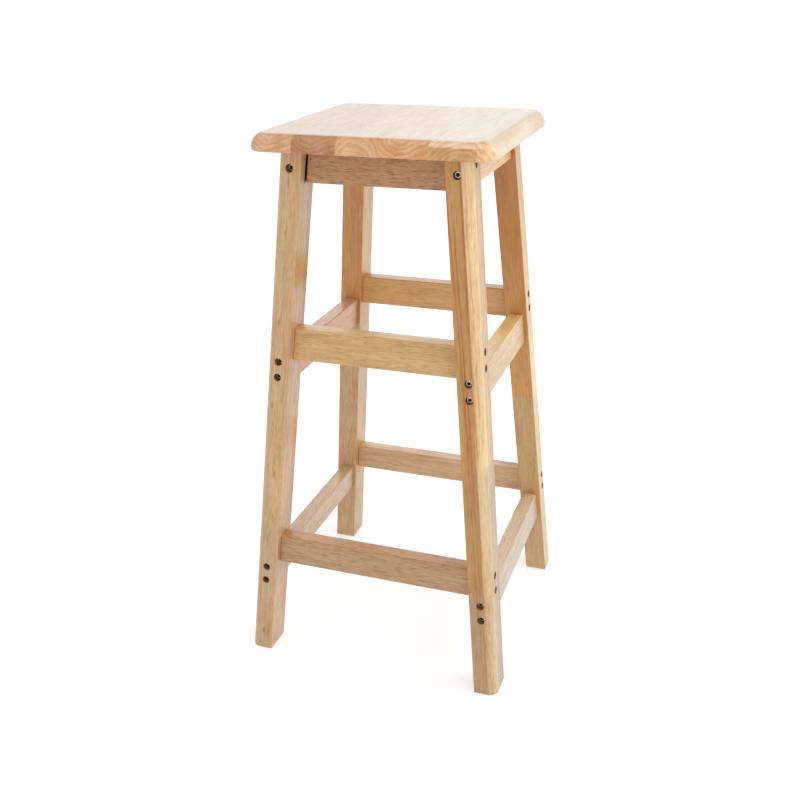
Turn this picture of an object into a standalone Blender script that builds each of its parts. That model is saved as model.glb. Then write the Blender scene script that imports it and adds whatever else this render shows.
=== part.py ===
"""Wooden bar stool with a footrest.

Four splayed legs stand under a square solid seat. Three rings of rails tie them together: aprons under the
seat, stretchers at mid height, and lower stretchers that carry the feet. Socket-head screws run level
through the legs into the rail ends, with their heads sunk in counterbores.

X is the width, -Y is the front and Z is up. The origin is on the floor, at the centre of the footprint.
All lengths are in metres.
"""

import bmesh
import bpy
import math
from mathutils import Vector

# Overall sizes
STOOL_HEIGHT = 0.700
TOP_SPAN_X = 0.2317        # over the legs, at the seat's underside
TOP_SPAN_Y = 0.2458
FOOT_SPAN_X = 0.356       # over the legs, on the floor
FOOT_SPAN_Y = 0.356

# Seat board
SEAT_WIDTH = 0.294
SEAT_DEPTH = 0.294
SEAT_THICKNESS = 0.0200
SEAT_CORNER_RADIUS = 0.025
SEAT_TOP_ROUNDING = 0.015
SEAT_BOTTOM_ROUNDING = 0.002
SEAT_EDGE_LAND = 0.0015   # least flat edge left between the two roundings

# Legs
LEG_WIDTH = 0.031         # along X
LEG_DEPTH = 0.041         # along Y
LEG_OUTER_RADIUS = 0.013
EASED_EDGE = 0.001        # every other arris of a leg

# Rails
RAIL_THICKNESS = 0.0205
RAIL_EASED_EDGE = 0.0015
APRON_FRONT_HEIGHT = 0.0390
APRON_SIDE_HEIGHT = 0.0358
MIDDLE_HEIGHT = 0.0405
MIDDLE_FRONT_TOP = 0.4630
MIDDLE_SIDE_TOP = 0.4297
LOWER_HEIGHT = 0.0385
LOWER_FRONT_TOP = 0.1737
LOWER_SIDE_TOP = 0.1385
FRONT_INSET = 0.0235      # rail's middle plane, in from the legs' outer faces
SIDE_INSET = 0.0163
LOWER_FRONT_INSET = 0.0203

# Screws
SHANK_DIAMETER = 0.005
RAIL_SCREW_LENGTH = 0.060
SEAT_SCREW_LENGTH = 0.040
SCREW_POINT = 0.004
HEAD_DIAMETER = 0.008
HEAD_HEIGHT = 0.004
SOCKET_WIDTH = 0.004      # across the flats of the hexagon
SOCKET_DEPTH = 0.0025
COUNTERBORE_DIAMETER = 0.010
HEAD_RECESS = 0.0035      # from the wood's face down to the top of the head
SCREW_SPACING = 0.0203    # between the two screws of a stretcher's end
MIDDLE_SCREW_RISE = 0.0028  # the middle stretchers' screws, above the middle of the stretcher
APRON_SCREW_STEP = 0.009  # the front aprons' screws pass this far above the side aprons' screws
SEAT_SCREW_GRIP = 0.0125   # depth of a seat screw in the seat

# Fits
CLEARANCE = 0.0003        # left between touching pieces
BORE_RUNOUT = 0.002       # how far a bore's cutter stands out of the wood
ROUND_STEPS = 12

# Derived sizes
SEAT_UNDERSIDE = STOOL_HEIGHT - SEAT_THICKNESS
FRAME_TOP = SEAT_UNDERSIDE - CLEARANCE
SPLAY_X = (FOOT_SPAN_X - TOP_SPAN_X) / 2 / SEAT_UNDERSIDE
SPLAY_Y = (FOOT_SPAN_Y - TOP_SPAN_Y) / 2 / SEAT_UNDERSIDE
APRON_SCREW_HEIGHT = FRAME_TOP - APRON_SIDE_HEIGHT / 2

SIDES = {"left": -1, "right": 1}
ENDS = {"front": -1, "back": 1}


def outer_x(z):
    """Half the width over the legs at height z."""
    return TOP_SPAN_X / 2 + SPLAY_X * (SEAT_UNDERSIDE - z)


def outer_y(z):
    """Half the depth over the legs at height z."""
    return TOP_SPAN_Y / 2 + SPLAY_Y * (SEAT_UNDERSIDE - z)


# Scene, collections and materials

def clear_scene():
    for item in list(bpy.data.objects):
        bpy.data.objects.remove(item, do_unlink=True)


def new_collection(name):
    collection = bpy.data.collections.new(name)
    bpy.context.scene.collection.children.link(collection)
    return collection


def new_material(name, colour, roughness, metallic):
    material = bpy.data.materials.new(name)
    material.use_nodes = True
    shader = material.node_tree.nodes["Principled BSDF"]
    shader.inputs["Base Color"].default_value = (*colour, 1.0)
    shader.inputs["Roughness"].default_value = roughness
    shader.inputs["Metallic"].default_value = metallic
    return material


def add_part(name, mesh, material):
    part = bpy.data.objects.new(name, mesh)
    if not mesh.materials:
        mesh.materials.append(material)
    parts.objects.link(part)
    return part


def as_cutter(cutter):
    cutters.objects.link(cutter)
    cutter.hide_render = True
    cutter.display_type = "WIRE"
    return cutter


def cut(part, cutter):
    boolean = part.modifiers.new("cut " + cutter.name, "BOOLEAN")
    boolean.operation = "DIFFERENCE"
    boolean.solver = "EXACT"
    boolean.object = cutter


# Seat board

def level_edges(body, height):
    """The edges of a body whose two ends both lie at one height."""
    return [e for e in body.edges if all(abs(v.co.z - height) < 1e-6 for v in e.verts)]


def make_seat():
    """A square board with rounded corners, a full roundover above and a small one below."""
    top = SEAT_THICKNESS / 2
    top_rounding = min(SEAT_TOP_ROUNDING, SEAT_THICKNESS - SEAT_BOTTOM_ROUNDING - SEAT_EDGE_LAND)
    body = bmesh.new()
    bmesh.ops.create_cube(body, size=1.0)
    bmesh.ops.scale(body, vec=(SEAT_WIDTH, SEAT_DEPTH, SEAT_THICKNESS), verts=body.verts)
    upright = [e for e in body.edges if e.verts[0].co.z * e.verts[1].co.z < 0]
    bmesh.ops.bevel(body, geom=upright, offset=SEAT_CORNER_RADIUS, offset_type="OFFSET",
                    segments=6, profile=0.5, affect="EDGES")
    bmesh.ops.bevel(body, geom=level_edges(body, top), offset=top_rounding, offset_type="OFFSET",
                    segments=5, profile=0.5, affect="EDGES")
    bmesh.ops.bevel(body, geom=level_edges(body, -top), offset=SEAT_BOTTOM_ROUNDING,
                    offset_type="OFFSET", segments=2, profile=0.5, affect="EDGES")
    mesh = bpy.data.meshes.new("seat_board")
    body.to_mesh(mesh)
    body.free()
    seat = add_part("seat_board", mesh, seat_wood)
    seat.location.z = STOOL_HEIGHT - top
    return seat


# Bars: legs and rails

def fitted_box(corner):
    """A cube primitive whose eight corners are moved to corner(i, j, k), each sign being -1 or 1."""
    body = bmesh.new()
    bmesh.ops.create_cube(body, size=2.0)
    for vertex in body.verts:
        vertex.co = corner(round(vertex.co.x), round(vertex.co.y), round(vertex.co.z))
    return body


def turned_out(body):
    """Faces point out again after a mirrored placing of the corners."""
    bmesh.ops.recalc_face_normals(body, faces=body.faces)
    return body


def make_leg(name, side, end):
    """A leg at one corner: side is -1 for left and 1 for right, end is -1 for front and 1 for back."""
    def corner(i, j, k):
        z = FRAME_TOP if k > 0 else 0.0
        x = outer_x(z) - (0.0 if i > 0 else LEG_WIDTH)
        y = outer_y(z) - (0.0 if j > 0 else LEG_DEPTH)
        return Vector((side * x, end * y, z))

    body = turned_out(fitted_box(corner))
    outer_corners = [corner(1, 1, -1), corner(1, 1, 1)]
    arris = [e for e in body.edges
             if all(any((v.co - c).length < 1e-6 for c in outer_corners) for v in e.verts)]
    bmesh.ops.bevel(body, geom=arris, offset=LEG_OUTER_RADIUS, offset_type="OFFSET",
                    segments=6, profile=0.5, affect="EDGES")
    mesh = bpy.data.meshes.new(name)
    body.to_mesh(mesh)
    body.free()
    leg = add_part(name, mesh, leg_wood)
    eased = leg.modifiers.new("eased edges", "BEVEL")
    eased.width = EASED_EDGE
    eased.segments = 1
    eased.limit_method = "ANGLE"
    eased.angle_limit = math.radians(40)
    return leg


def make_rail(name, across_x, side, top, height, inset, material):
    """A rail between two legs.

    A front or back rail runs along X (across_x is true) on the side -Y or +Y; a side rail runs along Y.
    Its faces lean with the legs, and its ends are cut to the slope of the legs' inner faces.
    """
    def corner(i, j, k):
        z = top if k > 0 else top - height
        along, out = (i, j) if across_x else (j, i)
        if across_x:
            reach = outer_x(z) - LEG_WIDTH - CLEARANCE
            plane = outer_y(z) - inset
        else:
            reach = outer_y(z) - LEG_DEPTH - CLEARANCE
            plane = outer_x(z) - inset
        cross = side * plane + out * RAIL_THICKNESS / 2
        return Vector((along * reach, cross, z)) if across_x else Vector((cross, along * reach, z))

    body = turned_out(fitted_box(corner))
    run = 0 if across_x else 1
    long_edges = [e for e in body.edges if e.verts[0].co[run] * e.verts[1].co[run] < 0]
    bmesh.ops.bevel(body, geom=long_edges, offset=RAIL_EASED_EDGE, offset_type="OFFSET",
                    segments=2, profile=0.5, affect="EDGES")
    mesh = bpy.data.meshes.new(name)
    body.to_mesh(mesh)
    body.free()
    return add_part(name, mesh, material)


# Screws and their bores, both turned about their own Z with the head's seat at Z = 0

def turned(name, outline):
    """A body turned from an outline of (radius, height) points, listed from its top to its bottom."""
    mesh = bpy.data.meshes.new(name)
    points = [(radius, 0.0, height) for radius, height in outline]
    mesh.from_pydata(points, [(i, i + 1) for i in range(len(points) - 1)], [])
    body = bpy.data.objects.new(name, mesh)
    lathe = body.modifiers.new("lathe", "SCREW")
    lathe.axis = "Z"
    lathe.steps = ROUND_STEPS
    lathe.render_steps = ROUND_STEPS
    lathe.use_merge_vertices = True
    lathe.merge_threshold = 0.00001
    return body


def screw_mesh(length):
    """The shared mesh of one screw size: a round head with a hexagon socket, a shank and a point."""
    shank = SHANK_DIAMETER / 2
    blank = turned("screw_blank", [
        (0.0, HEAD_HEIGHT),
        (HEAD_DIAMETER / 2, HEAD_HEIGHT),
        (HEAD_DIAMETER / 2, 0.0),
        (shank, 0.0),
        (shank, SCREW_POINT - length),
        (0.0, -length),
    ])
    parts.objects.link(blank)
    body = bmesh.new()
    bmesh.ops.create_cone(body, cap_ends=True, segments=6, depth=2 * SOCKET_DEPTH,
                          radius1=SOCKET_WIDTH / math.sqrt(3), radius2=SOCKET_WIDTH / math.sqrt(3))
    mesh = bpy.data.meshes.new("hexagon_key")
    body.to_mesh(mesh)
    body.free()
    key = as_cutter(bpy.data.objects.new("hexagon_key", mesh))
    key.location.z = HEAD_HEIGHT
    cut(blank, key)
    depsgraph = bpy.context.evaluated_depsgraph_get()
    finished = bpy.data.meshes.new_from_object(blank.evaluated_get(depsgraph))
    finished.name = "screw"
    bpy.data.objects.remove(blank)
    bpy.data.objects.remove(key)
    return finished


def add_screw(name, mesh, length, seat_point, outward, woods):
    """A screw with its head's seat at seat_point, facing outward, and its bore through the woods."""
    facing = outward.to_track_quat("Z", "Y").to_euler()
    screw = add_part(name, mesh, screw_steel)
    screw.location = seat_point
    screw.rotation_euler = facing
    bore = as_cutter(turned(name + "_bore", [
        (0.0, HEAD_HEIGHT + HEAD_RECESS + BORE_RUNOUT),
        (COUNTERBORE_DIAMETER / 2, HEAD_HEIGHT + HEAD_RECESS + BORE_RUNOUT),
        (COUNTERBORE_DIAMETER / 2, -CLEARANCE),
        (SHANK_DIAMETER / 2 + CLEARANCE, -CLEARANCE),
        (SHANK_DIAMETER / 2 + CLEARANCE, -length - CLEARANCE),
        (0.0, -length - CLEARANCE),
    ]))
    bore.location = seat_point
    bore.rotation_euler = facing
    for wood in woods:
        cut(wood, bore)


def add_end_screws(rail, rail_name, across_x, side, inset, heights, mesh):
    """The screws at both ends of a rail, each running level through the leg beside it."""
    for other_name, other in (SIDES if across_x else ENDS).items():
        leg = legs[(other, side)] if across_x else legs[(side, other)]
        for number, z in enumerate(heights, start=1):
            sunk = HEAD_RECESS + HEAD_HEIGHT
            if across_x:
                point = Vector((other * (outer_x(z) - sunk), side * (outer_y(z) - inset), z))
                outward = Vector((other, 0, 0))
            else:
                point = Vector((side * (outer_x(z) - inset), other * (outer_y(z) - sunk), z))
                outward = Vector((0, other, 0))
            name = f"screw_{rail_name}_{other_name}"
            if len(heights) > 1:
                name += f"_{number}"
            add_screw(name, mesh, RAIL_SCREW_LENGTH, point, outward, (leg, rail))


def make_ring(ring_name, front, sides, screw_heights, material):
    """Four rails: front and sides each hold (top, height, inset) of the rails that run each way."""
    rails = {}
    for across_x, places in ((True, ENDS), (False, SIDES)):
        top, height, inset = front if across_x else sides
        for place, side in places.items():
            name = f"{ring_name}_{place}"
            rail = make_rail(name, across_x, side, top, height, inset, material)
            heights = screw_heights(across_x, top - height / 2)
            add_end_screws(rail, name, across_x, side, inset, heights, rail_screw)
            rails[place] = rail
    return rails


def stretcher_screws(across_x, middle):
    """Two screws, one above the other, about the middle of the stretcher."""
    return (middle + SCREW_SPACING / 2, middle - SCREW_SPACING / 2)


def raised_stretcher_screws(across_x, middle):
    """As in the lower stretchers, but raised a little."""
    return stretcher_screws(across_x, middle + MIDDLE_SCREW_RISE)


def apron_screws(across_x, middle):
    """One screw: the front and back aprons' pass above the side aprons', where they cross in the leg."""
    return (APRON_SCREW_HEIGHT + (APRON_SCREW_STEP if across_x else 0.0),)


def add_seat_screws(aprons, seat):
    """One screw up through the middle of the front apron and of the back apron into the seat."""
    seat_height = SEAT_UNDERSIDE + SEAT_SCREW_GRIP - SEAT_SCREW_LENGTH
    for place, end in ENDS.items():
        bottom = FRAME_TOP - APRON_FRONT_HEIGHT
        point = Vector((0.0, end * (outer_y(seat_height) - FRONT_INSET), seat_height))
        name = f"seat_screw_{place}"
        add_screw(name, seat_screw, SEAT_SCREW_LENGTH, point, Vector((0, 0, -1)), (aprons[place], seat))
        access = as_cutter(turned(name + "_access", [
            (0.0, 0.0),
            (COUNTERBORE_DIAMETER / 2, 0.0),
            (COUNTERBORE_DIAMETER / 2, bottom - BORE_RUNOUT - seat_height),
            (0.0, bottom - BORE_RUNOUT - seat_height),
        ]))
        access.location = point
        cut(aprons[place], access)


clear_scene()
parts = new_collection("bar_stool")
cutters = new_collection("cutters")

seat_wood = new_material("seat_wood", (0.72, 0.52, 0.34), 0.38, 0.0)
leg_wood = new_material("leg_wood", (0.60, 0.38, 0.20), 0.42, 0.0)
rail_wood = new_material("rail_wood", (0.57, 0.35, 0.19), 0.42, 0.0)
screw_steel = new_material("screw_steel", (0.62, 0.62, 0.60), 0.35, 1.0)

rail_screw = screw_mesh(RAIL_SCREW_LENGTH)
seat_screw = screw_mesh(SEAT_SCREW_LENGTH)

seat_board = make_seat()
legs = {}
for end_name, end_sign in ENDS.items():
    for side_name, side_sign in SIDES.items():
        legs[(side_sign, end_sign)] = make_leg(f"leg_{end_name}_{side_name}", side_sign, end_sign)

apron_rails = make_ring("apron", (FRAME_TOP, APRON_FRONT_HEIGHT, FRONT_INSET),
                        (FRAME_TOP, APRON_SIDE_HEIGHT, SIDE_INSET), apron_screws, rail_wood)
make_ring("middle_stretcher", (MIDDLE_FRONT_TOP, MIDDLE_HEIGHT, FRONT_INSET),
          (MIDDLE_SIDE_TOP, MIDDLE_HEIGHT, SIDE_INSET), raised_stretcher_screws, rail_wood)
make_ring("lower_stretcher", (LOWER_FRONT_TOP, LOWER_HEIGHT, LOWER_FRONT_INSET),
          (LOWER_SIDE_TOP, LOWER_HEIGHT, SIDE_INSET), stretcher_screws, rail_wood)
add_seat_screws(apron_rails, seat_board)
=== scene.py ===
"""Looks of the wooden bar stool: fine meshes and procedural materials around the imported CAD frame.

Every wooden piece and every screw is rebuilt here at a finer resolution, in the place its CAD node holds.
Wood is a solid texture: each mesh carries the "place" of its points in the piece, in metres, first
along the fibres and then the two ways across them.
"""

import math
import random

import bmesh
import bpy
from mathutils import Matrix, Vector


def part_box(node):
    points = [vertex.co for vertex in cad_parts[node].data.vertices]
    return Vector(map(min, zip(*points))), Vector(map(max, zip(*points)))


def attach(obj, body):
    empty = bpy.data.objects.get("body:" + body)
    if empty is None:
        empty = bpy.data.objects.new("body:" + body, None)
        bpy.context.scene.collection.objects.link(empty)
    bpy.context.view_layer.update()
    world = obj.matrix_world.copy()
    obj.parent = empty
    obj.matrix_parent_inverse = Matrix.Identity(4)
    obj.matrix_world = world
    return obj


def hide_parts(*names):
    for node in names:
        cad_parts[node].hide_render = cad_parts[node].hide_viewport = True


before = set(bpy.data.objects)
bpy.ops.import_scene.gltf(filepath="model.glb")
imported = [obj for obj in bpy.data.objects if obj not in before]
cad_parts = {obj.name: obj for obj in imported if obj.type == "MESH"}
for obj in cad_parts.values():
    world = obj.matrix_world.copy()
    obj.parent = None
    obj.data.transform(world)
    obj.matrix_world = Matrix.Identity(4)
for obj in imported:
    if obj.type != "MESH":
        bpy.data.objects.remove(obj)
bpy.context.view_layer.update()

SIDES = {"left": -1, "right": 1}
ENDS = {"front": -1, "back": 1}

# Finish of the wood, in metres and degrees
LEG_ARRIS_RADIUS = 0.013
LEG_ARRIS_SEGMENTS = 14
EASED_EDGE = 0.0011
EASED_EDGE_SEGMENTS = 3
EASED_EDGE_ANGLE = 50.0         # leg edges that turn by more than this are eased
RAIL_EASED_EDGE = 0.0014
RAIL_EASED_EDGE_SEGMENTS = 4
SEAT_CORNER_RADIUS = 0.025
SEAT_TOP_ROUNDING = 0.0132      # how far the roundover reaches in from the edge
SEAT_TOP_DROP = 0.0170          # and how far down
SEAT_TOP_CREASE = 22.0          # between the flat top and the start of the roundover
SEAT_TOP_STEPS = 12
SEAT_BOTTOM_ROUNDING = 0.0016
SEAT_BOTTOM_STEPS = 6
SEAT_CORNER_STEPS = 12
SEAT_LEAST_CORNER = 0.002       # the corner's radius on the flat top is at least this
COUNTERBORE_RADIUS = 0.0050
BORE_CLEARANCE = 0.0003
BORE_MOUTH = 0.0120             # how far a bore's cutter reaches out past the head's top
SEAT_BORE_MOUTH = 0.0400        # and past a seat screw's, which sits deep in its apron
WOOD_SHARP_ANGLE = 33.0
SCREW_SHARP_ANGLE = 28.0
APRON_SHORT_END = 0.0026        # how far the front apron's face stops short of the left leg


# ---- Sizes read from the frame ----

class Stool:
    """The lean and the section of the legs, worked out from the boxes of the CAD nodes."""

    def __init__(self):
        self.splay_x = self.lean("front").x
        self.splay_y = self.lean("left").y
        low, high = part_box("leg_back_right")
        self.leg_top = high.z
        self.foot = Vector((high.x, high.y))
        self.leg_width = high.x - self.splay_x * high.z - low.x
        self.leg_depth = high.y - self.splay_y * high.z - low.y

    @staticmethod
    def lean(place):
        """How much further out the lower stretcher at this place ends, for each metre down."""
        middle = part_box("middle_stretcher_" + place)
        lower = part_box("lower_stretcher_" + place)
        return (lower[1] - middle[1]) / (middle[0].z - lower[0].z)

    def outer_x(self, z):
        return self.foot.x - self.splay_x * z

    def outer_y(self, z):
        return self.foot.y - self.splay_y * z


stool = Stool()


# ---- Mesh helpers ----

ROUND = 48      # points round a circle


def new_object(name, data):
    made = bpy.data.objects.new(name, data)
    bpy.context.scene.collection.objects.link(made)
    return made


def fitted_box(corner):
    """A cube whose eight corners are moved to corner(i, j, k), each sign being -1 or 1."""
    body = bmesh.new()
    bmesh.ops.create_cube(body, size=2.0)
    for vertex in body.verts:
        vertex.co = corner(round(vertex.co.x), round(vertex.co.y), round(vertex.co.z))
    bmesh.ops.recalc_face_normals(body, faces=body.faces)
    return body


def new_mesh(name, body):
    """Hands a bmesh over as a mesh of this name."""
    mesh = bpy.data.meshes.new(name)
    body.to_mesh(mesh)
    body.free()
    return mesh


def ease(body, edges, radius, segments):
    bmesh.ops.bevel(body, geom=edges, offset=radius, offset_type="OFFSET", segments=segments,
                    profile=0.5, affect="EDGES", clamp_overlap=True)


def loft(loops):
    """Faces between loops of equally many points, with a cap over the first and the last loop."""
    body = bmesh.new()
    rings = [[body.verts.new(point) for point in loop] for loop in loops]
    count = len(rings[0])
    for low, high in zip(rings, rings[1:]):
        for i in range(count):
            j = (i + 1) % count
            body.faces.new((low[i], low[j], high[j], high[i]))
    body.faces.new(list(reversed(rings[0])))
    body.faces.new(rings[-1])
    return body


def circle(radius, z):
    turns = (2 * math.pi * i / ROUND for i in range(ROUND))
    return [Vector((radius * math.cos(a), radius * math.sin(a), z)) for a in turns]


def hexagon(apothem, z):
    """A hexagon drawn with as many points as a circle, so that the two loft together."""
    points = []
    for i in range(ROUND):
        angle = 2 * math.pi * i / ROUND
        across = (angle + math.pi / 6) % (math.pi / 3) - math.pi / 6
        reach = apothem / math.cos(across)
        points.append(Vector((reach * math.cos(angle), reach * math.sin(angle), z)))
    return points


def set_place(mesh, place_of):
    """Stores every vertex's place in its own piece: along the fibres, and the two ways across."""
    layer = mesh.attributes.new("place", "FLOAT_VECTOR", "POINT")
    for vertex, item in zip(mesh.vertices, layer.data):
        item.vector = place_of(vertex.co)


def shade_smooth(mesh, sharp_angle):
    mesh.shade_smooth()
    mesh.set_sharp_from_angle(angle=math.radians(sharp_angle))


def weight_normals(piece):
    """Keeps the flat faces flat to the eye beside the eased edges."""
    weighted = piece.modifiers.new("weighted normals", "WEIGHTED_NORMAL")
    weighted.keep_sharp = True


def apply_modifiers(piece):
    """Turns the modifiers' result into the object's own mesh."""
    depsgraph = bpy.context.evaluated_depsgraph_get()
    finished = bpy.data.meshes.new_from_object(piece.evaluated_get(depsgraph))
    finished.name = piece.name
    piece.modifiers.clear()
    piece.data = finished


# ---- Screws and their bores ----

HEAD_CHAMFER = 0.0006
SOCKET_APOTHEM = 0.0022
SOCKET_DEPTH = 0.0024
SOCKET_CHAMFER = 0.0002
SOCKET_POINT_RADIUS = 0.0003    # the drill's point at the bottom of the socket
SOCKET_POINT_DEPTH = 0.0008
SHANK_RADIUS = 0.0025
SCREW_POINT = 0.004
SCREW_TIP_RADIUS = 0.0004
# How much deeper than drawn some screws were driven, by the rail that they hold and its end
SUNK = {"lower_stretcher_left_front": 0.0060, "middle_stretcher_left_front": 0.0025,
        "apron_left_front": 0.0020, "lower_stretcher_right_front": 0.0015}
# How much off the drawn height some screws were drilled
RAISED = {"screw_apron_right_front": -0.0007, "screw_apron_left_front": -0.0028}


def screw_axis(node):
    """The outward direction of a screw and the middle of the top of its head, from its CAD box."""
    low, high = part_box(node)
    middle = (low + high) / 2
    if node.startswith("seat_screw"):
        return Vector((0, 0, -1)), Vector((middle.x, middle.y, low.z))
    axis = max(range(3), key=lambda i: high[i] - low[i])
    outward = Vector((0, 0, 0))
    outward[axis] = math.copysign(1.0, middle[axis])
    top = middle.copy()
    top[axis] = high[axis] if outward[axis] > 0 else low[axis]
    top -= outward * next((sunk for pair, sunk in SUNK.items() if pair in node), 0.0)
    top.z += RAISED.get(node, 0.0)
    return outward, top


def screw_sizes(node):
    """Head radius, head height and length under the head of a CAD screw."""
    low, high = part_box(node)
    extents = sorted(high - low)
    head_radius = extents[0] / 2
    return head_radius, head_radius, extents[2] - head_radius


def screw_mesh(node):
    """A socket-head screw, turned about Z with its head's top at Z = 0 and its point below."""
    head_radius, head_height, length = screw_sizes(node)
    loops = [
        circle(SCREW_TIP_RADIUS, -head_height - length),
        circle(SHANK_RADIUS, -head_height - length + SCREW_POINT),
        circle(SHANK_RADIUS, -head_height),
        circle(head_radius - HEAD_CHAMFER / 2, -head_height),
        circle(head_radius, -head_height + HEAD_CHAMFER / 2),
        circle(head_radius, -HEAD_CHAMFER),
        circle(head_radius - HEAD_CHAMFER * 0.3, -HEAD_CHAMFER * 0.3),
        circle(head_radius - HEAD_CHAMFER, 0.0),
        hexagon(SOCKET_APOTHEM + SOCKET_CHAMFER, 0.0),
        hexagon(SOCKET_APOTHEM, -SOCKET_CHAMFER),
        hexagon(SOCKET_APOTHEM, -SOCKET_DEPTH),
        circle(SOCKET_POINT_RADIUS, -SOCKET_DEPTH - SOCKET_POINT_DEPTH),
    ]
    mesh = new_mesh("screw", loft(loops))
    shade_smooth(mesh, SCREW_SHARP_ANGLE)
    mesh.materials.append(screw_steel)
    mesh.materials.append(socket_shade)
    # The faces inside the socket take the painted shade
    for face in mesh.polygons:
        if face.center.to_2d().length < SOCKET_APOTHEM * 1.1 and face.center.z > -SOCKET_DEPTH * 2:
            face.material_index = 1
    return mesh


def bore_cutter(node):
    """What the drill takes out for a screw: a counterbore for the head and a hole for the shank."""
    head_radius, head_height, length = screw_sizes(node)
    outward, top = screw_axis(node)
    hole = SHANK_RADIUS + BORE_CLEARANCE
    depth = -head_height - BORE_CLEARANCE
    mouth = SEAT_BORE_MOUTH if node.startswith("seat_screw") else BORE_MOUTH
    loops = [
        circle(hole, depth - length),
        circle(hole, depth),
        circle(COUNTERBORE_RADIUS, depth),
        circle(COUNTERBORE_RADIUS, mouth),
    ]
    mesh = new_mesh(node + "_bore", loft(loops))
    mesh.materials.append(bored_wood)
    cutter = new_object(node + "_bore", mesh)
    cutter.location = top
    cutter.rotation_euler = outward.to_track_quat("Z", "Y").to_euler()
    return cutter


def woods_of(node):
    """The names of the two wooden pieces that a CAD screw holds together."""
    if node.startswith("seat_screw_"):
        return "apron_" + node.removeprefix("seat_screw_"), "seat_board"
    words = node.removeprefix("screw_").split("_")
    if words[-1].isdigit():
        words.pop()
    leg_end = words.pop()
    rail = "_".join(words)
    if words[-1] in ENDS:
        return rail, f"leg_{words[-1]}_{leg_end}"
    return rail, f"leg_{leg_end}_{words[-1]}"


def bore(piece, name):
    """Cuts the bores of every screw that goes through the CAD node of this name."""
    cutters = [bore_cutter(node) for node in screw_nodes if name in woods_of(node)]
    for cutter in cutters:
        cut = piece.modifiers.new("bore", "BOOLEAN")
        cut.operation = "DIFFERENCE"
        cut.solver = "EXACT"
        cut.material_mode = "TRANSFER"
        cut.object = cutter
    apply_modifiers(piece)
    for cutter in cutters:
        bpy.data.objects.remove(cutter)


# ---- Node graphs ----

class Graph:
    """The node tree of one material, with short calls for the nodes used here."""

    def __init__(self, name):
        self.material = bpy.data.materials.new(name)
        self.material.use_nodes = True
        self.tree = self.material.node_tree
        self.shader = self.tree.nodes["Principled BSDF"]

    def feed(self, socket, value):
        if isinstance(value, bpy.types.NodeSocket):
            self.tree.links.new(value, socket)
        else:
            socket.default_value = value

    def node(self, kind, inputs=(), **settings):
        made = self.tree.nodes.new(kind)
        for key, value in settings.items():
            setattr(made, key, value)
        for key, value in dict(inputs).items():
            self.feed(made.inputs[key], value)
        return made

    def attribute(self, name, output="Vector"):
        return self.node("ShaderNodeAttribute", attribute_name=name).outputs[output]

    def separated(self, vector):
        return self.node("ShaderNodeSeparateXYZ", {0: vector}).outputs

    def normal(self):
        return self.node("ShaderNodeNewGeometry").outputs["Normal"]

    def math(self, operation, a, b=0.0, c=0.0):
        return self.node("ShaderNodeMath", {0: a, 1: b, 2: c}, operation=operation).outputs[0]

    def times(self, a, b):
        return self.math("MULTIPLY", a, b)

    def vector(self, operation, a, b):
        return self.node("ShaderNodeVectorMath", {0: a, 1: b}, operation=operation).outputs[0]

    def length(self, a):
        return self.node("ShaderNodeVectorMath", {0: a}, operation="LENGTH").outputs["Value"]

    def noise(self, place, scale, detail=2.0, output="Fac"):
        """Noise at a place that is first multiplied by scale, one factor for each axis."""
        scaled = self.vector("MULTIPLY", place, scale)
        made = self.node("ShaderNodeTexNoise", {"Vector": scaled, "Scale": 1.0, "Detail": detail})
        return made.outputs[output]

    def sway(self, noise, reach):
        """A shift of up to half of reach either way, taken from a colour noise."""
        return self.vector("MULTIPLY", self.vector("SUBTRACT", noise, (0.5, 0.5, 0.5)), reach)

    def span(self, value, low, high, to_low=0.0, to_high=1.0):
        """Value's place between low and high, carried smoothly to between to_low and to_high."""
        made = self.node("ShaderNodeMapRange", {"Value": value, "From Min": low, "From Max": high,
                                                "To Min": to_low, "To Max": to_high})
        made.interpolation_type = "SMOOTHSTEP"
        return made.outputs["Result"]

    def mix(self, factor, a, b, blend="MIX"):
        made = self.tree.nodes.new("ShaderNodeMix")
        made.data_type = "RGBA"
        made.blend_type = blend
        for socket, value in zip((made.inputs[0], made.inputs[6], made.inputs[7]), (factor, a, b)):
            self.feed(socket, value)
        return made.outputs[2]

    def tint(self, factor, colour, by):
        """The colour, multiplied by another to the extent of the factor."""
        return self.mix(factor, colour, self.mix(1.0, colour, by, blend="MULTIPLY"))

    def bump(self, height, distance, strength=1.0):
        made = self.node("ShaderNodeBump", {"Height": height, "Distance": distance,
                                            "Strength": strength})
        self.feed(self.shader.inputs["Normal"], made.outputs["Normal"])


def rgb(red, green, blue):
    """A colour given as a paint chip shows it, 0 to 255, as the linear values that shaders take."""
    def linear(value):
        share = value / 255
        return share / 12.92 if share <= 0.04045 else ((share + 0.055) / 1.055) ** 2.4
    return (linear(red), linear(green), linear(blue), 1.0)


# ---- Wood ----

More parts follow.
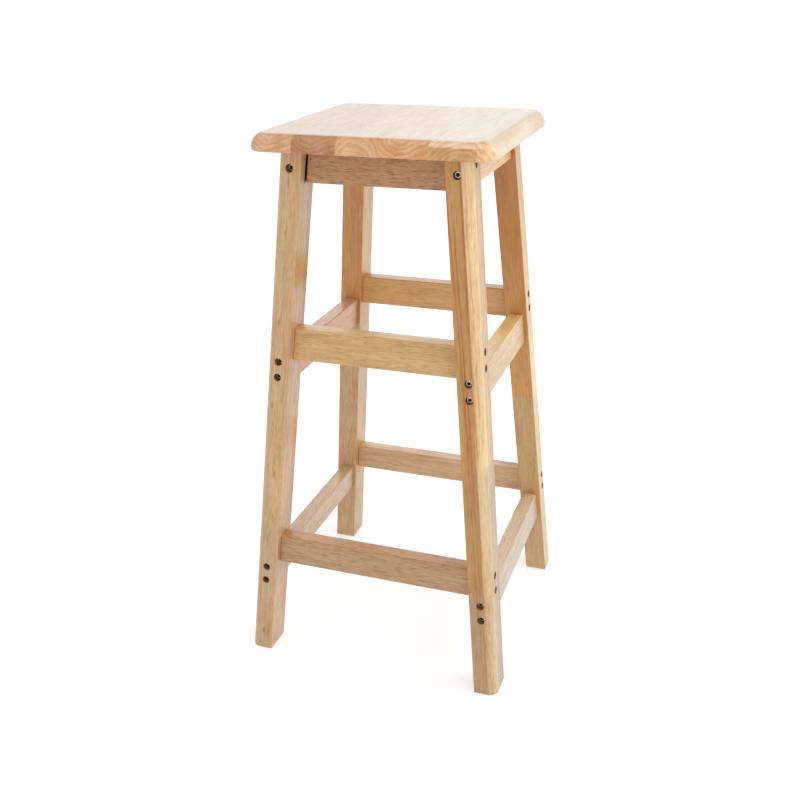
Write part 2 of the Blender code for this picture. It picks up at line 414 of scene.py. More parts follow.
LINE_TINT = (0.84, 0.49, 0.20, 1.0)
KNOT_TINT = (0.66, 0.38, 0.25, 1.0)
PORE_TINT = (0.66, 0.50, 0.38, 1.0)
END_GRAIN_AND_SLOT_SHADE_TINT = (0.42, 0.30, 0.22, 1.0)      # end grain drinks more varnish and comes out darker; on the front apron's ends it is painted shade in the slot beside the near left leg
EDGE_SHEEN_TINT = (1.20, 1.20, 1.12, 1.0)     # painted sheen: the seat's roundover and sides, paler than its flat top
CREASE_SHADE_TINT = (0.95, 0.82, 0.64, 1.0)    # painted shade: a darker orange band along the crease where the roundover over the end grain leaves the flat top
JOINT_BOUNCE_LIGHT_TINT = (1.45, 1.20, 0.84, 1.0)    # painted bounce light, lighter and warmer, where a rail meets a leg
BOUNCE_LIGHT_REACH = 0.016                     # how far the painted bounce light spreads along the rail
SOFT_EDGE = 0.0006              # how gradually one tone passes into another across a glue line
BASE_DARKNESS = 0.30            # share of the darker tone before any figure is added
LINE_WANDER = 0.0004            # how far a growth line strays from its plane
LINE_FADE = 0.02                # how gradually a growth line begins and ends

# How closely each noise is packed along the fibres and the two ways across them, for one metre
BEND_SCALE = (3.0, 22.0, 22.0)
RIPPLE_SCALE = (24.0, 60.0, 60.0)
UNEVEN_SCALE = (0.0, 45.0, 45.0)
STREAK_SCALE = (34.0, 430.0, 430.0)
FIBRE_SCALE = (110.0, 1300.0, 1300.0)
CLOUD_SCALE = (9.0, 60.0, 60.0)
VESSEL_SCALE = (95.0, 900.0, 900.0)
CROWD_SCALE = (14.0, 120.0, 120.0)
RING_BEND = (0.0, 0.006, 0.006)
GLUE_SWAY = (0.0, 0.005, 0.005)         # how far the seat's bands stray from straight


def inside(g, parts, low, high):
    """1 inside the box from low to high and 0 outside it; None leaves a side open."""
    mask = 1.0
    for part, least, most in zip(parts, low, high):
        if least is not None:
            mask = g.times(mask, g.span(part, least - SOFT_EDGE, least + SOFT_EDGE))
        if most is not None:
            mask = g.times(mask, g.span(part, most + SOFT_EDGE, most - SOFT_EDGE))
    return mask


def growth_rings(g, across, spacing, unevenness):
    """Rings round the pith that darken slowly and end sharply, each as strong as its own year."""
    uneven = g.noise(across, UNEVEN_SCALE)
    turn = g.math("ADD", g.math("DIVIDE", g.length(across), spacing), g.times(uneven, unevenness))
    phase = g.math("FRACT", turn)
    ring = g.times(g.span(phase, 0.0, 0.80), g.span(phase, 1.0, 0.86))
    which = g.node("ShaderNodeCombineXYZ", {0: g.math("FLOOR", turn)}).outputs[0]
    year = g.node("ShaderNodeTexWhiteNoise", {0: which}).outputs["Value"]
    return g.times(ring, g.span(year, 0.0, 1.0, 0.35, 1.0))


def growth_line(g, colour, parts, streak, fibre, line):
    """Adds one dark sheet of late growth, which shows as a line along a face."""
    middle, lean, width, start, stop, strength = line
    sheet = g.math("SUBTRACT", parts[1], g.times(parts[0], lean))
    sheet = g.math("ADD", sheet, g.times(g.span(streak, 0.3, 0.7, -1.0, 1.0), LINE_WANDER))
    off = g.math("ABSOLUTE", g.math("SUBTRACT", sheet, middle))
    share = g.times(g.span(off, width, 0.0), g.span(fibre, 0.2, 0.6, 0.6, 1.0))
    share = g.times(share, g.span(parts[0], start - LINE_FADE, start + LINE_FADE))
    share = g.times(share, g.span(parts[0], stop + LINE_FADE, stop - LINE_FADE))
    return g.tint(g.times(share, strength), colour, LINE_TINT)


def knot(g, colour, place, streak, spot, radius):
    """Adds a small reddish eye with a halo drawn out along the fibres."""
    off = g.length(g.vector("MULTIPLY", g.vector("SUBTRACT", place, spot), (0.35, 1.0, 1.0)))
    eye = g.span(g.math("ADD", off, g.times(streak, radius)), radius * 1.6, radius * 0.4)
    return g.tint(g.times(eye, 0.95), colour, KNOT_TINT)


def stave_faces(g):
    """How far a point of the seat is on end grain, on the flat top, and on the arris round the top, where a
    painted shade goes.
    """
    facing = g.separated(g.normal())
    on_end = g.span(g.math("ABSOLUTE", facing[1]), 0.12, 0.45)
    on_top = g.span(facing[2], 0.84, 0.97)
    arris = g.times(g.span(facing[2], 0.93, 0.90), g.span(facing[2], 0.80, 0.87))
    return on_end, on_top, arris


def stave_tone(g, on_end, on_top, arris):
    """The tone that paint_staves has stored for the stave under each point."""
    top = g.attribute("stave_top", "Color")
    # Painted sheen: away from the flat top the top tone is made paler
    top = g.mix(on_top, g.mix(1.0, top, EDGE_SHEEN_TINT, blend="MULTIPLY"), top)
    # Painted shade along the crease at the start of the roundover over the end grain
    end = g.tint(arris, g.attribute("stave_end", "Color"), CREASE_SHADE_TINT)
    return g.mix(on_end, top, end)


def wood(name, tone=None, shade=(0.80, 0.68, 0.56), pith=(0.05, 0.02), ring_spacing=0.006,
         ring_strength=0.25, streaks=0.38, fibres=0.26, dashes=0.35, wave=0.0006, blotch=0.30,
         coat=0.5, lines=(), patches=(), knots=(), seed=0, end_axis=None, staves=False,
         rail_end=None, unevenness=1.4, flecks=0.24, fleck_scale=(62.0, 400.0), fade=None):
    """Varnished pale hardwood, solid all through, from the "place" of each point in its piece.

    tone is the usual colour and shade what it is multiplied by where the wood is darkest.
    lines: (across, lean, width, from, to, strength), dark growth lines in planes along the fibres.
    patches: (low, high, tint), boxes in the piece with a tone of their own; some paint sheen, highlights, top
    light and shade onto faces.
    knots: (place, radius).
    staves: the piece is the seat, whose tones and piths are stored stave by stave.
    rail_end: how far from its middle a rail meets a leg, and half the rail's height, for the painted bounce
    light there.
    fade: (from, to, tint), a slow change of tone along the piece.
    """
    g = Graph(name)
    place = g.attribute("place")
    parts = g.separated(place)
    offset = g.attribute("stave_pith") if staves else (1.37 * seed, pith[0], pith[1])
    grain = g.vector("ADD", place, offset)

    # The fibres wave a little, and the rings wander along the trunk.
    bend = g.noise(grain, BEND_SCALE, output="Color")
    ripple = g.noise(grain, RIPPLE_SCALE, detail=1.0, output="Color")
    fibre_place = g.vector("ADD", grain, g.sway(ripple, (0.0, wave, wave)))
    trunk_place = g.vector("ADD", fibre_place, g.sway(bend, RING_BEND))
    ring = growth_rings(g, g.vector("MULTIPLY", trunk_place, (0.0, 1.0, 1.0)), ring_spacing, unevenness)

    # On the seat's end grain the rings and pores show more.
    if staves:
        on_end, on_top, arris = stave_faces(g)
        ring = g.times(ring, g.span(on_end, 0.0, 1.0, 0.25, 1.3))
        dashes = g.math("MULTIPLY_ADD", on_end, 0.25, dashes)

    # Rings, streaks, fibres and blotches together say how dark the wood is.
    streak = g.noise(fibre_place, STREAK_SCALE, detail=3.0)
    fibre = g.noise(fibre_place, FIBRE_SCALE)
    cloud = g.noise(grain, CLOUD_SCALE)
    amount = g.math("MULTIPLY_ADD", ring, ring_strength, BASE_DARKNESS)
    for noise, strength in ((streak, streaks), (fibre, fibres), (cloud, blotch)):
        amount = g.math("MULTIPLY_ADD", g.span(noise, 0.25, 0.75, -1.0, 1.0), strength, amount)
    if staves:
        figure = g.math("SUBTRACT", amount, BASE_DARKNESS)
        amount = g.math("MULTIPLY_ADD", figure, g.span(on_top, 0.0, 1.0, 1.35, 0.55), BASE_DARKNESS)
    colour = stave_tone(g, on_end, on_top, arris) if staves else tone
    colour = g.tint(amount, colour, (*shade, 1.0))

    # Slow changes along the piece, the boards that it was glued up from, painted light and shade on some
    # faces, and painted bounce light where a rail meets a leg
    if fade is not None:
        start, stop, tint = fade
        colour = g.tint(g.span(parts[0], start, stop), colour, (*tint, 1.0))
    if staves:
        parts = g.separated(g.vector("ADD", place, g.sway(ripple, GLUE_SWAY)))
    for low, high, tint in patches:
        colour = g.tint(inside(g, parts, low, high), colour, (*tint, 1.0))
    # Painted bounce light: lighter and warmer towards where the rail meets a leg, most on its top
    if rail_end is not None:
        reach, half = rail_end
        near = g.span(g.math("ABSOLUTE", parts[0]), reach - BOUNCE_LIGHT_REACH, reach)
        near = g.times(near, g.span(parts[2], half - 0.0022, half - 0.0008, 0.30, 1.0))
        colour = g.tint(near, colour, JOINT_BOUNCE_LIGHT_TINT)

    for line in lines:
        colour = growth_line(g, colour, parts, streak, fibre, line)
    for spot, radius in knots:
        colour = knot(g, colour, place, streak, spot, radius)

    # Pores: short dashes along the fibres, and coarser flecks
    vessels = g.noise(fibre_place, VESSEL_SCALE, detail=1.0)
    crowd = g.noise(grain, CROWD_SCALE)
    dash = g.span(g.math("ADD", vessels, g.span(crowd, 0.35, 0.65, -0.05, 0.05)), 0.57, 0.68)
    colour = g.tint(g.times(dash, dashes), colour, PORE_TINT)
    along, across = fleck_scale
    fleck = g.noise(fibre_place, (along, across, across), detail=1.0)
    colour = g.tint(g.times(g.span(fleck, 0.54, 0.68), flecks), colour, PORE_TINT)

    # Darker end grain; on the front apron's ends this is painted shade in the slot by the near left leg
    if end_axis is not None:
        facing = g.node("ShaderNodeVectorMath", {0: g.normal(), 1: end_axis},
                        operation="DOT_PRODUCT").outputs["Value"]
        colour = g.tint(g.span(g.math("ABSOLUTE", facing), 0.6, 0.95), colour, END_GRAIN_AND_SLOT_SHADE_TINT)

    g.feed(g.shader.inputs["Base Color"], colour)
    rough = g.math("MULTIPLY_ADD", g.span(streak, 0.3, 0.7), 0.10, 0.38)
    g.feed(g.shader.inputs["Roughness"], g.math("MULTIPLY_ADD", dash, 0.10, rough))
    g.shader.inputs["Coat Weight"].default_value = coat
    g.shader.inputs["Coat Roughness"].default_value = 0.26
    g.shader.inputs["Specular IOR Level"].default_value = 0.45
    g.bump(g.math("MULTIPLY_ADD", dash, -1.0, g.times(fibre, 0.4)), 0.00010, 0.6)
    return g.material


def drilled_wood():
    """Bare wood inside a bore: darker, rough and marked by the drill."""
    g = Graph("bored_wood")
    place = g.node("ShaderNodeTexCoord").outputs["Object"]
    marks = g.noise(place, (1400.0, 1400.0, 1400.0))
    g.feed(g.shader.inputs["Base Color"], g.mix(marks, rgb(168, 112, 66), rgb(112, 66, 36)))
    g.shader.inputs["Roughness"].default_value = 0.8
    g.bump(marks, 0.0002)
    return g.material


def steel():
    """Dull zinc plating with darker patches and fine turning marks."""
    g = Graph("screw_steel")
    place = g.node("ShaderNodeTexCoord").outputs["Object"]
    patches = g.noise(place, (520.0, 520.0, 520.0), detail=3.0)
    flat = g.vector("MULTIPLY", place, (1.0, 1.0, 0.0))
    turning = g.node("ShaderNodeTexNoise", {"W": g.times(g.length(flat), 9000.0),
                                            "Scale": 1.0}, noise_dimensions="1D").outputs["Fac"]
    colour = g.mix(g.span(patches, 0.35, 0.7), rgb(232, 231, 224), rgb(160, 156, 148))
    g.feed(g.shader.inputs["Base Color"], colour)
    g.shader.inputs["Metallic"].default_value = 1.0
    g.feed(g.shader.inputs["Roughness"], g.span(patches, 0.3, 0.7, 0.30, 0.52))
    g.bump(turning, 0.00003, 0.6)
    return g.material


def socket_shade_material():
    """The inside of a socket, painted near black with a faint speckle: painted shade."""
    g = Graph("socket_shade")
    place = g.node("ShaderNodeTexCoord").outputs["Object"]
    shade_speckle = g.noise(place, (900.0, 900.0, 900.0))
    g.feed(g.shader.inputs["Base Color"], g.mix(shade_speckle, rgb(9, 8, 8), rgb(22, 19, 17)))
    g.shader.inputs["Roughness"].default_value = 0.6
    return g.material


# ---- Pieces ----

# Bounds of the boxes below, in metres in the piece. A leg's places are the height, then X and Y from
# the middle of its section. A rail's are the way along it, then outward, then up from its middle.
RIGHT_FACE = 0.0140             # a leg's X beyond this is on its right face
FRONT_FACE = -0.0190            # a leg's Y beyond this is clear of its front face
FRONT_PLANE = -0.0205           # a leg's front face itself
ARRIS_X = 0.0042                # where the rounded arris of the near right leg begins
ARRIS_Y = -0.0075               # and where it ends
MIDDLE_TOP = 0.0192             # a middle stretcher's top face
LOWER_TOP = 0.0182              # a lower stretcher's top face
# Heights at which the legs are scarfed together from two or three boards
NEAR_RIGHT_SCARF = 0.3160
NEAR_RIGHT_LOW_SCARF = 0.1450
FAR_LEFT_SCARF = 0.3900
FAR_RIGHT_SCARF = 0.3010
MIDDLE_RIGHT_CHANGE = -0.0450   # where the painted light on the top of the right middle stretcher changes, from pale sheen at the front to warm light at the back

# What each wooden piece looks like, in the words of wood()
LOOKS = {
    "leg_front_left": dict(
        tone=rgb(193, 159, 114), ring_strength=0.16, dashes=0.35, streaks=0.42, pith=(0.030, 0.055),
        patches=[((None, RIGHT_FACE, FRONT_FACE), (None, None, None), (0.95, 0.93, 1.08)),
                 ((None, RIGHT_FACE, 0.0090), (None, None, None), (0.90, 0.86, 0.84)),
                 # Painted shade: near black on the leg's right face inside the slot beside the front apron
                 ((0.6400, RIGHT_FACE, -0.0070), (None, None, 0.0040), (0.10, 0.07, 0.05)),
                 ((0.5160, RIGHT_FACE, FRONT_FACE), (0.5530, None, None), (1.02, 0.92, 0.44)),
                 ((0.3000, RIGHT_FACE, 0.0020), (0.3380, None, None), (1.0, 0.88, 0.62)),
                 ((None, None, None), (0.2000, RIGHT_FACE, None), (0.94, 0.96, 1.00))],
        knots=[((0.4731, -0.0014, FRONT_PLANE), 0.0024), ((0.3635, -0.0046, FRONT_PLANE), 0.0026),
               ((0.2799, -0.0054, FRONT_PLANE), 0.0018), ((0.2680, 0.0040, FRONT_PLANE), 0.0026),
               ((0.0282, 0.0022, FRONT_PLANE), 0.0028), ((0.0088, -0.0025, FRONT_PLANE), 0.0018),
               ((0.5840, 0.0010, FRONT_PLANE), 0.0020)]),
    "leg_front_right": dict(
        tone=rgb(182, 137, 73), ring_strength=0.20, dashes=0.30, streaks=0.40, pith=(-0.045, 0.010),
        # Painted highlight: the rounded arris much paler than the faces beside it
        patches=[((None, ARRIS_X, None), (None, None, ARRIS_Y), (1.40, 1.92, 3.80)),
                 # Painted sheen: the right face paler
                 ((None, RIGHT_FACE, ARRIS_Y), (None, None, None), (1.04, 1.20, 1.79)),
                 ((None, RIGHT_FACE, 0.0120), (None, None, 0.0160), (0.86, 0.74, 0.60)),
                 ((None, RIGHT_FACE, None), (NEAR_RIGHT_SCARF, None, None), (0.78, 0.86, 1.10)),
                 ((None, None, None), (NEAR_RIGHT_SCARF, RIGHT_FACE, None), (0.91, 0.93, 0.97)),
                 ((None, None, None), (NEAR_RIGHT_LOW_SCARF, ARRIS_X, None), (0.99, 1.08, 1.86)),
                 # Less of the painted highlight on the arris below the low scarf
                 ((None, ARRIS_X, None), (NEAR_RIGHT_LOW_SCARF, RIGHT_FACE, ARRIS_Y), (0.90, 0.86, 0.86))],
        lines=[(0.0100, -0.0120, 0.0021, 0.3200, 0.6900, 1.0),
               (0.0060, -0.0060, 0.0015, 0.0500, 0.3100, 0.8),
               (0.0060, -0.0230, 0.0016, 0.3300, 0.6200, 1.0),
               (0.0070, -0.0340, 0.0020, 0.3300, 0.6700, 0.9),
               (0.0020, -0.0100, 0.0014, 0.1500, 0.4200, 0.8),
               (0.0170, -0.0160, 0.0011, 0.3800, 0.6600, 0.6),
               (-0.0040, -0.0060, 0.0016, 0.1000, 0.4000, 0.7)]),
    "leg_back_left": dict(
        tone=rgb(190, 135, 72), ring_strength=0.14, dashes=0.32, streaks=0.40, pith=(0.020, 0.050),
        patches=[((None, None, None), (FAR_LEFT_SCARF, None, None), (0.99, 1.30, 2.30)),
                 # Painted sheen: the right face paler, taken back off below the scarf
                 ((None, RIGHT_FACE, FRONT_FACE), (None, None, None), (0.98, 1.27, 1.96)),
                 ((None, RIGHT_FACE, FRONT_FACE), (FAR_LEFT_SCARF, None, None), (0.95, 0.76, 0.48))]),
    "leg_back_right": dict(
        tone=rgb(176, 121, 61), ring_strength=0.12, dashes=0.28, streaks=0.36, pith=(-0.020, 0.045),
        fade=(0.6000, 0.3100, (1.22, 1.45, 1.76)),
        patches=[((None, None, None), (FAR_RIGHT_SCARF, None, None), (0.94, 1.14, 1.70)),
                 # Painted sheen: the right face paler, with less of it below the scarf
                 ((None, RIGHT_FACE, FRONT_FACE), (None, None, None), (1.16, 1.62, 2.40)),
                 ((None, RIGHT_FACE, FRONT_FACE), (FAR_RIGHT_SCARF, None, None), (0.92, 0.70, 0.44))]),
    # Its darkened ends are painted shade in the slot beside the near left leg
    "apron_front": dict(tone=rgb(175, 132, 89), wave=0.0034, dashes=0.50, streaks=0.36,
                        flecks=0.90, fleck_scale=(95.0, 640.0), pith=(0.050, 0.012), end_axis=(1, 0, 0)),
    "apron_back": dict(tone=rgb(206, 166, 124), pith=(0.050, 0.020)),
    "apron_left": dict(tone=rgb(206, 166, 124), pith=(0.045, -0.020)),
    "apron_right": dict(tone=rgb(212, 173, 128), pith=(0.060, 0.010)),
    "middle_stretcher_front": dict(
        tone=rgb(195, 160, 106), dashes=0.40, flecks=0.35, wave=0.0020, pith=(0.060, 0.015),
        # Painted sheen: the top face paler
        patches=[((None, None, MIDDLE_TOP), (None, None, None), (1.20, 1.30, 1.35))],
        knots=[((-0.0112, 0.0103, 0.0186), 0.0018), ((-0.0114, 0.0103, 0.0122), 0.0016)]),
    "middle_stretcher_back": dict(
        # Painted shade: the top face darker than the rest of the rail
        tone=rgb(203, 158, 100), patches=[((None, None, MIDDLE_TOP), (None, None, None), (0.76, 0.66, 0.60))],
        pith=(0.050, -0.010)),
    "middle_stretcher_left": dict(tone=rgb(194, 151, 119), pith=(0.050, 0.020)),
    "middle_stretcher_right": dict(
        tone=rgb(187, 162, 117), pith=(0.050, 0.020),
        # Painted light on the top face: pale sheen towards the front, warm light towards the back leg
        patches=[((None, None, MIDDLE_TOP), (MIDDLE_RIGHT_CHANGE, None, None), (1.25, 1.33, 1.48)),
                 ((MIDDLE_RIGHT_CHANGE, None, MIDDLE_TOP), (None, None, None), (1.33, 1.24, 1.06))]),
    "lower_stretcher_front": dict(
        tone=rgb(174, 141, 103), dashes=0.60, flecks=0.65, fleck_scale=(50.0, 560.0),
        streaks=0.36, wave=0.0016, pith=(0.050, -0.020),
        # Painted light: the top face brighter and warmer, as if lit from above
        patches=[((None, None, LOWER_TOP), (None, None, None), (1.17, 1.02, 0.84))]),
    "lower_stretcher_back": dict(tone=rgb(197, 164, 127), pith=(0.050, 0.015)),
    "lower_stretcher_left": dict(tone=rgb(193, 164, 133), dashes=0.50, pith=(0.050, 0.010)),
    "lower_stretcher_right": dict(
        tone=rgb(175, 157, 133), pith=(0.050, 0.010),
        # Painted light: the top face brighter, as if lit from above
        patches=[((None, None, LOWER_TOP), (None, None, None), (1.34, 1.27, 1.17))]),
}
# Each stave of the seat: its right edge as a share of the seat's width, the pith from the stave's
# middle, and its tone on the flat top and on the end grain
STAVES = (
    (0.202, (0.004, 0.035), rgb(183, 162, 144), rgb(210, 170, 135)),
    (0.384, (0.000, 0.026), rgb(181, 161, 144), rgb(183, 139, 104)),
    (0.556, (-0.003, -0.024), rgb(187, 168, 149), rgb(213, 173, 133)),
    (0.753, (0.000, 0.030), rgb(188, 171, 152), rgb(213, 168, 127)),
    (1.000, (0.000, -0.035), rgb(190, 176, 158), rgb(220, 188, 146)),
)
# A place in the seat is Y, X and up from the middle of the board. Its glue lines lie close to these X:
EDGE_1, EDGE_2, EDGE_3, EDGE_4 = -0.0875, -0.0340, 0.0165, 0.0745
SEAT_FRONT = -0.1338            # a Y below this is on the end grain at the front
# Bands of other tones within the staves; the upper bands on the end grain of the two right staves are partly
# paler wood and partly painted highlight
SEAT_PATCHES = (
    # Partly a pale band in the wood, partly painted highlight along the top of the end grain
    ((None, EDGE_4, 0.0040), (SEAT_FRONT, None, None), (1.09, 1.28, 1.66)),
    ((None, EDGE_4, None), (SEAT_FRONT, 0.1280, 0.0030), (0.80, 0.71, 0.57)),
    ((None, EDGE_3, 0.0052), (SEAT_FRONT, EDGE_4, None), (1.05, 1.12, 1.28)),
    ((None, EDGE_3, None), (SEAT_FRONT, EDGE_4, -0.0040), (1.02, 0.96, 0.86)),
    ((None, EDGE_1, None), (SEAT_FRONT, EDGE_2, -0.0030), (0.92, 0.88, 0.86)),
    ((-0.0300, EDGE_4, None), (None, None, None), (0.985, 0.985, 0.985)),
    ((0.0300, EDGE_2, None), (None, EDGE_3, None), (0.98, 0.97, 0.96)),
)
SEAT_LOOK = dict(
    shade=(0.80, 0.63, 0.45), ring_spacing=0.0055, ring_strength=0.50, streaks=0.08, fibres=0.04,
    dashes=0.05, blotch=0.28, coat=0.35, unevenness=2.4, flecks=0.03, patches=SEAT_PATCHES, staves=True)
GLUE_LINE_WIDTH = 0.0007
GLUE_LINE_STRENGTH = 0.20


def make_leg(name, side, end):
    """A leg with its large rounded arris, and the function that gives the place of its points."""
    def corner(i, j, k):
        z = stool.leg_top if k > 0 else 0.0
        x = stool.outer_x(z) - (0.0 if i > 0 else stool.leg_width)
        y = stool.outer_y(z) - (0.0 if j > 0 else stool.leg_depth)
        return Vector((side * x, end * y, z))

    body = fitted_box(corner)
    ends = (corner(1, 1, -1), corner(1, 1, 1))
    arris = [e for e in body.edges if all(min((v.co - c).length for c in ends) < 1e-6 for v in e.verts)]
    ease(body, arris, LEG_ARRIS_RADIUS, LEG_ARRIS_SEGMENTS)
    sharp = [e for e in body.edges if e.calc_face_angle() > math.radians(EASED_EDGE_ANGLE)]
    ease(body, sharp, EASED_EDGE, EASED_EDGE_SEGMENTS)

    def place_of(point):
        middle_x = side * (stool.outer_x(point.z) - stool.leg_width / 2)
        middle_y = end * (stool.outer_y(point.z) - stool.leg_depth / 2)
        return (point.z, point.x - middle_x, point.y - middle_y)

    return new_object("fine_" + name, new_mesh(name, body)), place_of


def make_rail(name, across_x, side):
    """A rail whose ends and faces lean with the legs, and the function for its points' places."""
    low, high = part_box(name)
    splay_across = stool.splay_y if across_x else stool.splay_x
    run, cross = (0, 1) if across_x else (1, 0)
    height = high.z - low.z
    outer = max(abs(low[cross]), abs(high[cross]))
    inner = min(abs(low[cross]), abs(high[cross])) + splay_across * height
    slope = stool.splay_x if across_x else stool.splay_y

    def corner(i, j, k):
        z = high.z if k > 0 else low.z
        along, out = (i, j) if across_x else (j, i)
        reach = high[run] - slope * (z - low.z)
        if name == "apron_front" and along < 0 and out * side > 0:
            reach -= APRON_SHORT_END
        face = outer if out * side > 0 else inner
        place = Vector((0, 0, z))
        place[run] = along * reach
        place[cross] = side * (face - splay_across * (z - low.z))
        return place

    body = fitted_box(corner)
    long_edges = [e for e in body.edges if e.verts[0].co[run] * e.verts[1].co[run] < 0]
    ease(body, long_edges, RAIL_EASED_EDGE, RAIL_EASED_EDGE_SEGMENTS)
    middle_z = (low.z + high.z) / 2

    def place_of(point):
        middle = (outer + inner) / 2 - splay_across * (point.z - low.z)
        return (point[run], side * point[cross] - middle, point.z - middle_z)

    return new_object("fine_" + name, new_mesh(name, body)), place_of


def rounded_outline(half_x, half_y, radius, z):
    """A rectangle with round corners, anticlockwise from the middle of its right side."""
    points = []
    for quarter in range(4):
        sign_x = 1 if quarter in (0, 3) else -1
        sign_y = 1 if quarter in (0, 1) else -1
        for step in range(SEAT_CORNER_STEPS + 1):
            angle = math.pi / 2 * (quarter + step / SEAT_CORNER_STEPS)
            points.append(Vector((sign_x * (half_x - radius) + radius * math.cos(angle),
                                  sign_y * (half_y - radius) + radius * math.sin(angle), z)))
    return points


def seat_profile(bottom, top):
    """(inset, height) points up the seat's edge: a small roundover, a short land, a deep roundover."""
    profile = []
    for step in range(SEAT_BOTTOM_STEPS + 1):
        angle = math.pi / 2 * step / SEAT_BOTTOM_STEPS
        profile.append((SEAT_BOTTOM_ROUNDING * (1 - math.sin(angle)),
                        bottom + SEAT_BOTTOM_ROUNDING * (1 - math.cos(angle))))
    crease = math.radians(SEAT_TOP_CREASE)
    full = 1 - math.sin(crease)
    drop = math.cos(crease)
    for step in range(SEAT_TOP_STEPS + 1):
        angle = (math.pi / 2 - crease) * step / SEAT_TOP_STEPS
        profile.append((SEAT_TOP_ROUNDING * (1 - math.cos(angle)) / full,
                        top - SEAT_TOP_DROP * (1 - math.sin(angle) / drop)))
    return profile


def make_seat():
    """The seat board, cut into faces by stave, its points' places, and its staves' right edges."""
    low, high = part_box("seat_board")
    loops = []
    for inset, z in seat_profile(low.z, high.z):
        radius = max(SEAT_CORNER_RADIUS - inset, SEAT_LEAST_CORNER)
        loops.append(rounded_outline(high.x - inset, high.y - inset, radius, z))
    body = loft(loops)
    width = high.x - low.x
    edges = [low.x + share * width for share, *_ in STAVES]
    for edge in edges[:-1]:
        bmesh.ops.bisect_plane(body, geom=body.verts[:] + body.edges[:] + body.faces[:],
                               plane_co=(edge, 0, 0), plane_no=(1, 0, 0), dist=1e-7)
    bmesh.ops.recalc_face_normals(body, faces=body.faces)
    middle_z = (low.z + high.z) / 2

    def place_of(point):
        return (point.y, point.x, point.z - middle_z)

    return new_object("fine_seat_board", new_mesh("seat_board", body)), place_of, edges


def paint_staves(seat, edges):
    """Stores on every face corner the pith and the tones of the stave that the face belongs to."""
    layers = seat.data.attributes
    layers.new("stave_pith", "FLOAT_VECTOR", "CORNER")
    layers.new("stave_top", "FLOAT_COLOR", "CORNER")
    layers.new("stave_end", "FLOAT_COLOR", "CORNER")
    starts = [-edges[-1]] + edges[:-1]
    for face in seat.data.polygons:
        number = min(sum(face.center.x > edge for edge in edges), len(edges) - 1)
        _, pith, top, end = STAVES[number]
        middle = (starts[number] + edges[number]) / 2
        for corner in face.loop_indices:
            layers["stave_pith"].data[corner].vector = (1.9 * number, -middle - pith[0], -pith[1])
            layers["stave_top"].data[corner].color = top
            layers["stave_end"].data[corner].color = end


def settle(piece, name, material, place_of):
    """Bores and shades a wooden piece and puts it in the place of its CAD node."""
    piece.data.materials.append(material)
    bore(piece, name)
    set_place(piece.data, place_of)
    shade_smooth(piece.data, WOOD_SHARP_ANGLE)
    weight_normals(piece)
    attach(piece, "root")
    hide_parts(name)


def build_wood():
    """Every wooden piece, the legs and rails each with a seed of its own for their grain."""
    seed = 0
    for end_name, end in ENDS.items():
        for side_name, side in SIDES.items():
            seed += 1
            name = f"leg_{end_name}_{side_name}"
            leg, place_of = make_leg(name, side, end)
            material = wood(name + "_wood", seed=seed, end_axis=(0, 0, 1), **LOOKS[name])
            settle(leg, name, material, place_of)
    for ring in ("apron", "middle_stretcher", "lower_stretcher"):
        for across_x, places in ((True, ENDS), (False, SIDES)):
            for place, side in places.items():
                seed += 1
                name = f"{ring}_{place}"
                rail, place_of = make_rail(name, across_x, side)
                low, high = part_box(name)
                rail_end = (high[0 if across_x else 1], (high.z - low.z) / 2)
                material = wood(name + "_wood", seed=seed, rail_end=rail_end, **LOOKS[name])
                settle(rail, name, material, place_of)
    seat, place_of, edges = make_seat()
    low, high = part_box("seat_board")
    glue_lines = [(edge, 0.0, GLUE_LINE_WIDTH, low.y, high.y, GLUE_LINE_STRENGTH) for edge in edges[:-1]]
    material = wood("seat_board_wood", lines=glue_lines, **SEAT_LOOK)
    settle(seat, "seat_board", material, place_of)
    paint_staves(seat, edges)


def build_screws():
    """One fine screw in the place of each CAD screw, each turned to its own angle by the driver."""
    meshes = {}
    turns = random.Random(7)
    for node in screw_nodes:
        length = round(screw_sizes(node)[2], 4)
        if length not in meshes:
            meshes[length] = screw_mesh(node)
        outward, top = screw_axis(node)
        screw = new_object("fine_" + node, meshes[length])
        turned = Matrix.Rotation(turns.uniform(0, math.pi / 3), 4, "Z")
        facing = outward.to_track_quat("Z", "Y").to_matrix().to_4x4()
        screw.matrix_world = Matrix.Translation(top) @ facing @ turned
        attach(screw, "root")
        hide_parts(node)


# ---- Stage: floor, lights and camera ----

FLOOR_SIZE = 90.0
FLOOR_DROP = 0.0002             # how far the floor lies below the feet
FLOOR_COLOUR = (0.60, 0.60, 0.60, 1.0)
FLOOR_GLOW = 0.47
WHITE = (1.0, 1.0, 1.0, 1.0)
WORLD_STRENGTH = 0.97
# Soft lights: name, place, the point they face, size in metres and power in watts
PANELS = (
    ("key", (2.0, 0.8, 2.4), (0, 0, 0.5), 1.6, 33.0),
    ("fill", (2.6, -1.6, 1.0), (0, 0, 0.4), 1.6, 17.0),
    ("back", (-0.95, 2.75, 1.95), (0, 0, 0.6), 1.8, 10.5),
)
CAMERA_PLACE = (0.4046, -1.1818, 0.8741)
CAMERA_AZIMUTH = 19.323         # degrees round from the front
CAMERA_ELEVATION = 24.685       # degrees that it looks down
CAMERA_ROLL = -0.779            # degrees
CAMERA_LENS = 44.53             # mm
CAMERA_SHIFT = (-0.0030, 0.0222)


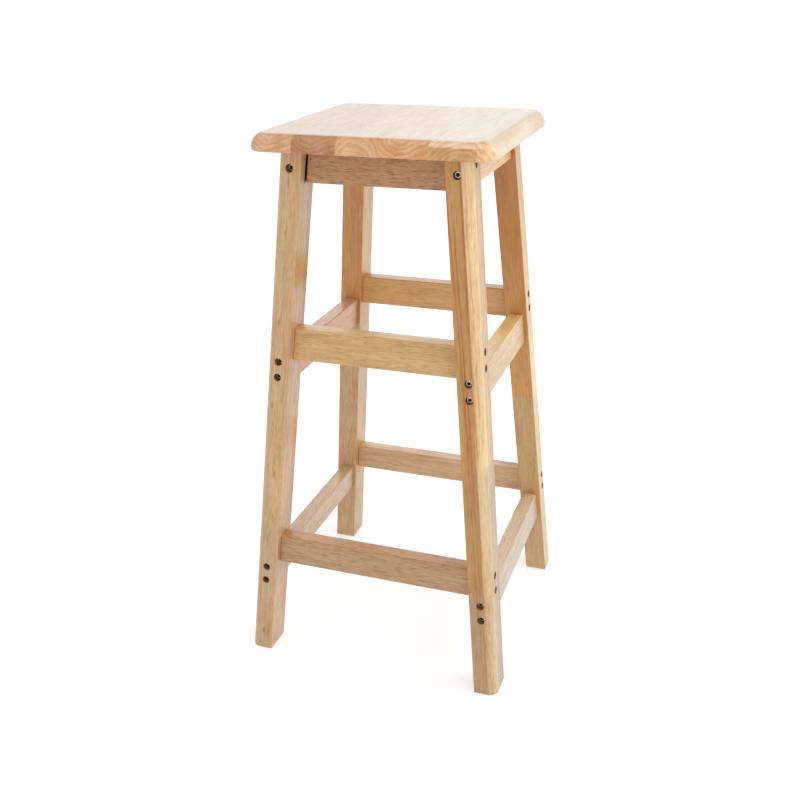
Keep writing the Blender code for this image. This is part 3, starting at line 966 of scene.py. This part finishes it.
def build_floor():
    bpy.ops.mesh.primitive_plane_add(size=FLOOR_SIZE, location=(0, 0, -FLOOR_DROP))
    floor = bpy.context.object
    floor.name = "floor"
    g = Graph("pale_floor")
    g.shader.inputs["Base Color"].default_value = FLOOR_COLOUR
    g.shader.inputs["Roughness"].default_value = 0.9
    g.shader.inputs["Specular IOR Level"].default_value = 0.0
    g.shader.inputs["Emission Color"].default_value = WHITE
    g.shader.inputs["Emission Strength"].default_value = FLOOR_GLOW
    floor.data.materials.append(g.material)


def panel(name, place, aim, size, power):
    """A square soft light at place that faces the point aim."""
    light = bpy.data.lights.new(name, "AREA")
    light.shape = "SQUARE"
    light.size = size
    light.energy = power
    lamp = new_object(name, light)
    lamp.location = place
    lamp.rotation_euler = (Vector(aim) - Vector(place)).to_track_quat("-Z", "Y").to_euler()
    lamp.visible_camera = False


def build_lights():
    world = bpy.data.worlds.new("studio")
    bpy.context.scene.world = world
    world.use_nodes = True
    background = world.node_tree.nodes["Background"]
    background.inputs["Color"].default_value = WHITE
    background.inputs["Strength"].default_value = WORLD_STRENGTH
    for settings in PANELS:
        panel(*settings)


def build_camera():
    camera = new_object("camera", bpy.data.cameras.new("camera"))
    camera.location = CAMERA_PLACE
    azimuth = math.radians(CAMERA_AZIMUTH)
    elevation = math.radians(CAMERA_ELEVATION)
    roll = math.radians(CAMERA_ROLL)
    back = Vector((math.sin(azimuth) * math.cos(elevation),
                   -math.cos(azimuth) * math.cos(elevation), math.sin(elevation)))
    turned = (-back).to_track_quat("-Z", "Y").to_matrix() @ Matrix.Rotation(roll, 3, "Z")
    camera.rotation_euler = turned.to_euler()
    camera.data.lens = CAMERA_LENS
    camera.data.shift_x, camera.data.shift_y = CAMERA_SHIFT
    bpy.context.scene.camera = camera


bpy.context.scene.view_settings.view_transform = "Standard"
bored_wood = drilled_wood()
screw_steel = steel()
socket_shade = socket_shade_material()
screw_nodes = sorted(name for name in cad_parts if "screw" in name)
build_camera()
build_lights()
build_floor()
build_wood()
build_screws()
